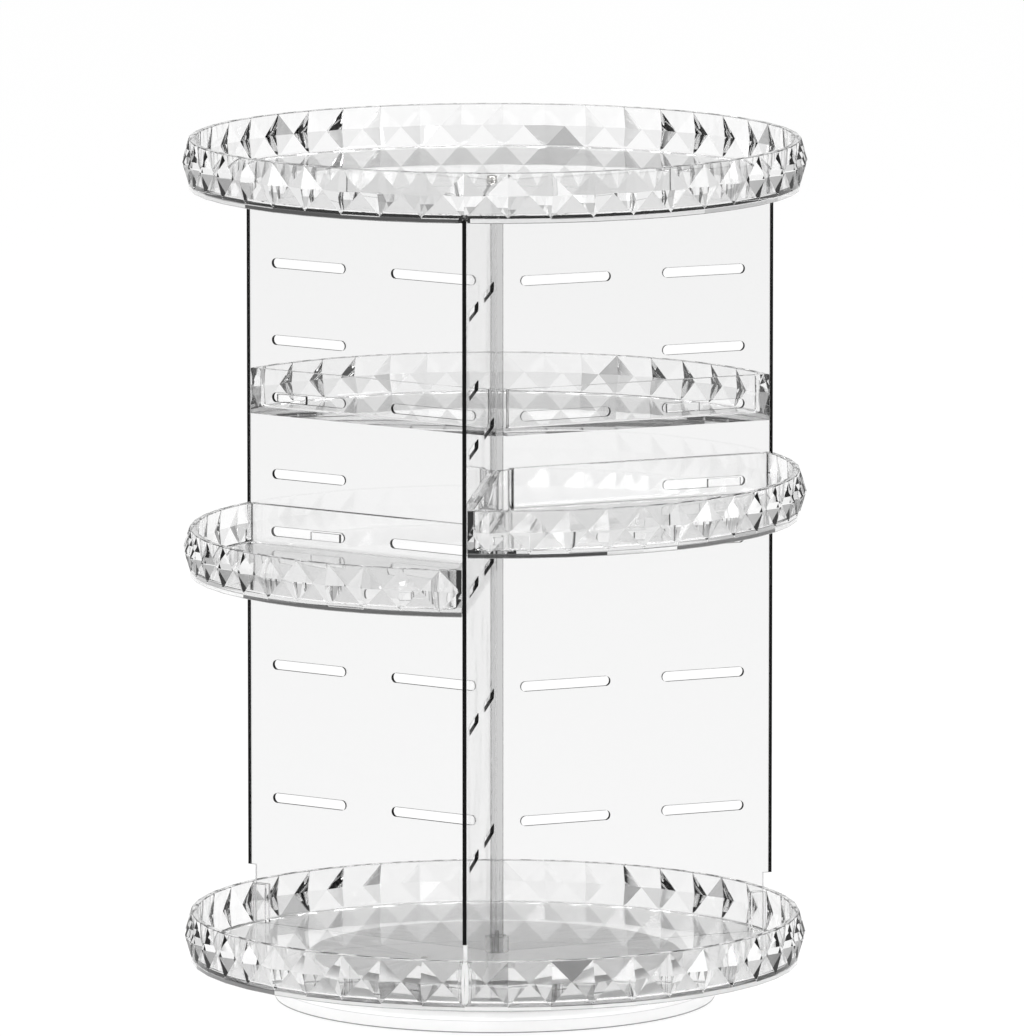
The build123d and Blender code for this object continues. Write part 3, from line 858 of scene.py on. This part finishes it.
def trim_to_sector(bm, offset):
    """Cut the wedge back to two planes parallel to the sheets, and close the cuts."""
    for outward in (-90.0, SECTOR + 90.0):
        normal = Matrix.Rotation(math.radians(outward), 3, "Z") @ Vector((1.0, 0.0, 0.0))
        everything = [*bm.verts, *bm.edges, *bm.faces]
        cut = bmesh.ops.bisect_plane(bm, geom=everything, plane_co=-normal * offset,
                                     plane_no=normal, clear_outer=True)["geom_cut"]
        rim = [item for item in cut if isinstance(item, bmesh.types.BMEdge)]
        bmesh.ops.edgeloop_fill(bm, edges=rim)
    bmesh.ops.remove_doubles(bm, verts=bm.verts, dist=WELD)
    bmesh.ops.recalc_face_normals(bm, faces=bm.faces)


def curved_side_from(bm, level):
    """The faces of the curved side that stand on a level."""
    return [face for face in bm.faces
            if all(abs(vert.co.xy.length - valley_radius) < CLOSE for vert in face.verts)
            and abs(min(vert.co.z for vert in face.verts) - level) < CLOSE]


def sector_block(bottom, top, dark_stretches, turn):
    """The solid sector with its diamonds, before it is hollowed."""
    pitch = (SECTOR - 2 * FIRST_DIAMOND) / (SECTOR_DIAMONDS - 1)
    crease_level = bottom + BAND - CREASE_STRIP
    diamond_level = bottom + BAND
    profile = [(POST_NOTCH, bottom), (valley_radius, bottom), (valley_radius, crease_level),
               (valley_radius, diamond_level), (valley_radius, top), (POST_NOTCH, top)]
    spans = SECTOR_DIAMONDS + 1
    bm = tray_bmesh()
    spin_profile(bm, profile, FIRST_DIAMOND - pitch, spans * pitch, spans)
    bmesh.ops.recalc_face_normals(bm, faces=bm.faces)
    band, crease, upper = [curved_side_from(bm, level)
                         for level in (bottom, crease_level, diamond_level)]
    shade_band(bm, band, dark_stretches, turn)
    paint_crease_shade(bm, crease)
    shade_facets(bm, cut_diamonds(bm, upper))
    trim_to_sector(bm, wall_offset)
    return bm


print("Sheet to tray wall:", round(SIDE_GAP / MM, 2), "mm")

# %% [markdown]
# ## The hollow of a sector tray
#
# The inside is a second, smaller sector with rounded outer corners. Its outline is drawn with
# spun vertices, one arc after another, and pushed down to the floor. A cylinder round the post
# is taken off it, which leaves a wall there, and the rest is taken out of the solid sector.

# %% The hollow
SIDE_WALL = 2.0 * MM
CORNER_ROUND = 4.0 * MM
CORNER_STEPS = 8
ARC_STEPS = 60
POST_WALL_SIDES = 48


def polar(radius, angle, level):
    """A point at a distance from the axis, in a direction given in radians."""
    return Vector((radius * math.cos(angle), radius * math.sin(angle), level))


def add_arc(bm, centre, start, angle, steps):
    """Spin one vertex into an arc of new ones, in order."""
    vert = bm.verts.new(start)
    bmesh.ops.spin(bm, geom=[vert], cent=centre, axis=(0, 0, 1), angle=angle, steps=steps,
                   use_duplicate=False)


def rounded_sector(offset, radius, corner, level):
    """One flat face: a sector between two side walls, with its outer corners rounded."""
    bm = bmesh.new()
    sector = math.radians(SECTOR)
    side = offset + corner
    lean = math.asin(side / (radius - corner))
    step = (sector - 2 * lean) / ARC_STEPS
    bm.verts.new(polar(offset / math.sin(sector / 2), sector / 2, level))
    first = polar(radius - corner, lean, level)
    add_arc(bm, first, first - Vector((0.0, corner, 0.0)), math.pi / 2 + lean, CORNER_STEPS)
    add_arc(bm, (0, 0, level), polar(radius, lean + step, level),
            sector - 2 * lean - 2 * step, ARC_STEPS - 2)
    second = polar(radius - corner, sector - lean, level)
    add_arc(bm, second, polar(radius, sector - lean, level), math.pi / 2 + lean, CORNER_STEPS)
    bm.faces.new(list(bm.verts))
    return bm


def sector_hollow(floor, top):
    """The inside of a sector, with rounded corners and a wall left round the post."""
    bm = rounded_sector(wall_offset + SIDE_WALL, inner_radius, CORNER_ROUND, top)
    lid = next(iter(bm.faces))
    foot = raise_cap(bm, lid, floor + FLOOR_ROUND - top, keep=True)[0]
    round_foot(bm, foot, FLOOR_ROUND)
    bmesh.ops.recalc_face_normals(bm, faces=bm.faces)
    hollow = loose_object("sector_hollow", bm)
    post_wall = bmesh.new()
    bmesh.ops.create_cone(post_wall, cap_ends=True, segments=POST_WALL_SIDES,
                          depth=2 * (top - floor), radius1=POST_NOTCH + SIDE_WALL,
                          radius2=POST_NOTCH + SIDE_WALL)
    bmesh.ops.translate(post_wall, verts=post_wall.verts, vec=(0.0, 0.0, (floor + top) / 2))
    carve(hollow, loose_object("post_wall", post_wall))
    return hollow


print("Inner corners:", round(CORNER_ROUND / MM, 1), "mm")

# %% [markdown]
# ## Hanging the sector trays
#
# Each straight wall has a tab that reaches through its sheet and rests in a slot. The tab on
# one side lies at the near end of the slot and the other at the far end, so that two trays
# can share one slot from both sides of a sheet.

# %% Sector trays
HOOK_LEVEL = 7.4 * MM
SLOT_HEIGHT = 3.9 * MM
OUTER_SLOT = (71.0 * MM, 106.0 * MM)
TAB_PLAY = 0.6 * MM
TAB_SIDE_PLAY = 1.5 * MM
TAB_END_GAP = 0.3 * MM
TAB_BEVEL = 0.3 * MM
SECTOR_STARTS = {"left_tray": 150.0, "right_tray": 270.0, "rear_tray": 30.0}


def add_tabs(bm, bottom):
    """The two tabs that rest in the slots of the sheets."""
    slot_end = SLOT_HEIGHT / 2
    length = (OUTER_SLOT[1] - OUTER_SLOT[0] - SLOT_HEIGHT) / 2 - TAB_SIDE_PLAY
    near = OUTER_SLOT[0] + slot_end
    far = OUTER_SLOT[1] - slot_end - length
    foot = bottom + HOOK_LEVEL - slot_end
    head = foot + SLOT_HEIGHT - TAB_PLAY
    reach = wall_offset - SIDE_GAP - SHEET + TAB_END_GAP
    box_in(bm, (near, reach, foot), (near + length, wall_offset - HAIR, head), TAB_BEVEL)
    second = box_in(bm, (far, HAIR - wall_offset, foot), (far + length, -reach, head),
                    TAB_BEVEL)
    turned(bm, second, SECTOR)


for node, start in SECTOR_STARTS.items():
    low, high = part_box(node)
    block = sector_block(low.z, high.z, DARK_STRETCHES[node], start)
    blank = loose_object(node + "_blank", block)
    carve(blank, sector_hollow(low.z + FLOOR, high.z + OVERCUT))
    bm = back_to_bmesh(blank)
    round_lips(bm, low.z, high.z)
    add_tabs(bm, low.z)
    bmesh.ops.recalc_face_normals(bm, faces=bm.faces)
    turned(bm, bm.verts, start)
    finish_piece(node + "_moulded", bm, TRAY_FINISHES, node)

# %% [markdown]
# ## Sheets
#
# The three sheets are cut from clear plate 1.5 mm thick, with rows of slots that the sector
# trays hang in. An outline is extruded to the plate's thickness, and the slots are taken out
# with a Boolean. A slot starts as a circle: its two halves are pulled apart, and it is pushed
# through the sheet as a bar with round ends.

# %% Sheet and slots
SLOT_ROWS = 5
SLOT_PITCH = 52.6 * MM
FIRST_SLOT = 50.2 * MM
HALF_ROW_RISE = 22.5 * MM
HALF_ROWS = (2, 3)
INNER_SLOT = (10.8 * MM, 48.8 * MM)
SLOT_SIDES = 32


def extrude_across(bm, face, distance):
    """Extrude a face along Y into a closed shape."""
    grown = bmesh.ops.extrude_face_region(bm, geom=[face])["geom"]
    moved = [item for item in grown if isinstance(item, bmesh.types.BMVert)]
    bmesh.ops.translate(bm, verts=moved, vec=(0.0, distance, 0.0))


def slot_cutter(bm, near, far, level):
    """A bar with round ends, across the sheet, from one radius to another."""
    verts = bmesh.ops.create_circle(bm, cap_ends=True, segments=SLOT_SIDES,
                                    radius=SLOT_HEIGHT / 2)["verts"]
    stretch = (far - near - SLOT_HEIGHT) / 2
    for vert in verts:
        vert.co.x += stretch if vert.co.x > 0 else -stretch
    face = verts[0].link_faces[0]
    middle = ((near + far) / 2, -2 * SHEET, level)
    upright = Matrix.Rotation(math.pi / 2, 4, "X")
    bmesh.ops.transform(bm, verts=verts, matrix=Matrix.Translation(middle) @ upright)
    extrude_across(bm, face, 4 * SHEET)


def slots_object(deck):
    """A cutter with all the slots of one sheet."""
    bm = bmesh.new()
    for row in range(SLOT_ROWS):
        level = deck + FIRST_SLOT + row * SLOT_PITCH
        slot_cutter(bm, *INNER_SLOT, level)
        slot_cutter(bm, *OUTER_SLOT, level)
        if row in HALF_ROWS:
            slot_cutter(bm, *OUTER_SLOT, level + HALF_ROW_RISE)
    bmesh.ops.recalc_face_normals(bm, faces=bm.faces)
    return loose_object("slot_cutter", bm)


def sheet_mesh(inner, foot, outer, deck, step, top):
    """The sheet's outline in the XZ plane, given its thickness along Y."""
    bm = bmesh.new()
    outline = [(inner, deck), (foot, deck), (foot, step), (outer, step), (outer, top),
               (inner, top)]
    verts = [bm.verts.new((x, -SHEET / 2, z)) for x, z in outline]
    extrude_across(bm, bm.faces.new(verts), SHEET)
    bmesh.ops.recalc_face_normals(bm, faces=bm.faces)
    return bm


print("Slots in a sheet:", 2 * SLOT_ROWS + len(HALF_ROWS))

# %% [markdown]
# ## Black edges
#
# The faces of a sheet are nearly invisible, but light that enters it runs to its cut edges and
# leaves there at odd angles, so the edges read as black lines, and that shade is painted on
# them. The faces that look neither forwards nor backwards are those edges. Above the bottom
# tray's rim the long ones are painted black and the small ones in the slots painted dark. Below
# it, the tray's plastic lights up the outer edge, so that is painted pale, as painted light. In
# the photo the outermost line is wider than the edge itself, so a strip of both faces beside it
# is painted black too.

# %% Slotted sheets
STEP_HEIGHT = 6.4 * MM
FOOT_GAP = 0.4 * MM
EDGE_STRIP = 1.0 * MM
SIDEWAYS = 0.5
LONG_EDGE_AREA = 20 * MM * MM
SHEET_FINISHES = [panel_plastic, black_painted_edge, dark_painted_slot, pale_painted_foot]
BLACK, DARK, PALE = 1, 2, 3


def mark_edges(bm, rim_top):
    """Give the cut edges of a sheet their painted shade and light: black, dark and pale."""
    for face in bm.faces:
        middle = face.calc_center_median()
        is_edge = abs(face.normal.y) < SIDEWAYS
        if is_edge and middle.z > rim_top and middle.x > POST_RADIUS:
            face.material_index = BLACK if face.calc_area() > LONG_EDGE_AREA else DARK
        elif face.normal.x > SIDEWAYS:
            face.material_index = PALE


def blacken_strip(bm, start):
    """Cut all faces at a radius, and paint what lies beyond it black, as shade."""
    bmesh.ops.bisect_plane(bm, geom=[*bm.verts, *bm.edges, *bm.faces],
                           plane_co=(start, 0, 0), plane_no=(1, 0, 0))
    for face in bm.faces:
        if face.calc_center_median().x > start:
            face.material_index = BLACK


front_low, front_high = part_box("panel_front")
deck_level = front_low.z
rim_top = tray_high.z
for node, angle in SHEET_ANGLES.items():
    bm = sheet_mesh(-front_high.y, inner_radius - FOOT_GAP, -front_low.y, deck_level,
                    rim_top + STEP_HEIGHT, front_high.z)
    blank = loose_object(node + "_blank", bm)
    carve(blank, slots_object(deck_level))
    bm = back_to_bmesh(blank)
    bmesh.ops.dissolve_degenerate(bm, dist=WELD, edges=bm.edges)
    mark_edges(bm, rim_top)
    blacken_strip(bm, -front_low.y - EDGE_STRIP)
    turned(bm, bm.verts, angle)
    finish_piece(node + "_sheet", bm, SHEET_FINISHES, node)

# %% [markdown]
# ## Floor
#
# A wide pale floor. To the camera, in reflections and through the plastic it is nearly white by
# a light of its own, with a thin coat of paint that takes the carousel's soft shadow. To the
# lamps' bounced light it is ordinary pale paint, so that it puts no more light on the object
# than a real floor would. Its underside is see-through, so that the carousel can be looked at
# from below.

# %% Floor
FLOOR_REACH = 60.0
FLOOR_SIDES = 64
FLOOR_PAINT = 0.07
FLOOR_GLOW = 0.95
FLOOR_BOUNCE = 0.8


def diffuse(nodes, level):
    """A matt grey shader."""
    shader = nodes.new("ShaderNodeBsdfDiffuse")
    shader.inputs["Color"].default_value = grey(level)
    return shader


def maximum(nodes, links, first, second):
    """The larger of two values."""
    node = nodes.new("ShaderNodeMath")
    node.operation = "MAXIMUM"
    links.new(first, node.inputs[0])
    links.new(second, node.inputs[1])
    return node.outputs["Value"]


def glowing_floor(name):
    """White to look at, plain paint to the lamps' light, and nothing from below."""
    material = bpy.data.materials.new(name)
    material.use_nodes = True
    nodes, links = material.node_tree.nodes, material.node_tree.links
    nodes.remove(nodes["Principled BSDF"])
    glow = nodes.new("ShaderNodeEmission")
    glow.inputs["Strength"].default_value = FLOOR_GLOW
    lit_paint = nodes.new("ShaderNodeAddShader")
    links.new(diffuse(nodes, FLOOR_PAINT).outputs["BSDF"], lit_paint.inputs[0])
    links.new(glow.outputs["Emission"], lit_paint.inputs[1])
    path = nodes.new("ShaderNodeLightPath")
    seen_or_mirrored = maximum(nodes, links, path.outputs["Is Camera Ray"],
                               path.outputs["Is Glossy Ray"])
    any_view = maximum(nodes, links, seen_or_mirrored, path.outputs["Is Transmission Ray"])
    top_side = mixed(nodes, links, any_view, diffuse(nodes, FLOOR_BOUNCE).outputs["BSDF"],
                     lit_paint.outputs["Shader"])
    side = nodes.new("ShaderNodeNewGeometry")
    nothing = nodes.new("ShaderNodeBsdfTransparent")
    surface = mixed(nodes, links, side.outputs["Backfacing"], top_side, nothing.outputs["BSDF"])
    links.new(surface, nodes["Material Output"].inputs["Surface"])
    return material


floor_mesh = bmesh.new()
bmesh.ops.create_circle(floor_mesh, cap_ends=True, segments=FLOOR_SIDES, radius=FLOOR_REACH)
floor = loose_object("studio_floor", floor_mesh)
floor.data.materials.append(glowing_floor("studio_floor"))
print("Floor reach:", FLOOR_REACH, "m")

# %% [markdown]
# ## Render settings
#
# A ray through this carousel crosses many clear walls, so it is allowed more bounces than
# usual.

# %% Render settings
BOUNCES = 32

bpy.context.scene.view_settings.view_transform = "Standard"
bpy.context.scene.cycles.max_bounces = BOUNCES
bpy.context.scene.cycles.transmission_bounces = BOUNCES
bpy.context.scene.cycles.transparent_max_bounces = BOUNCES
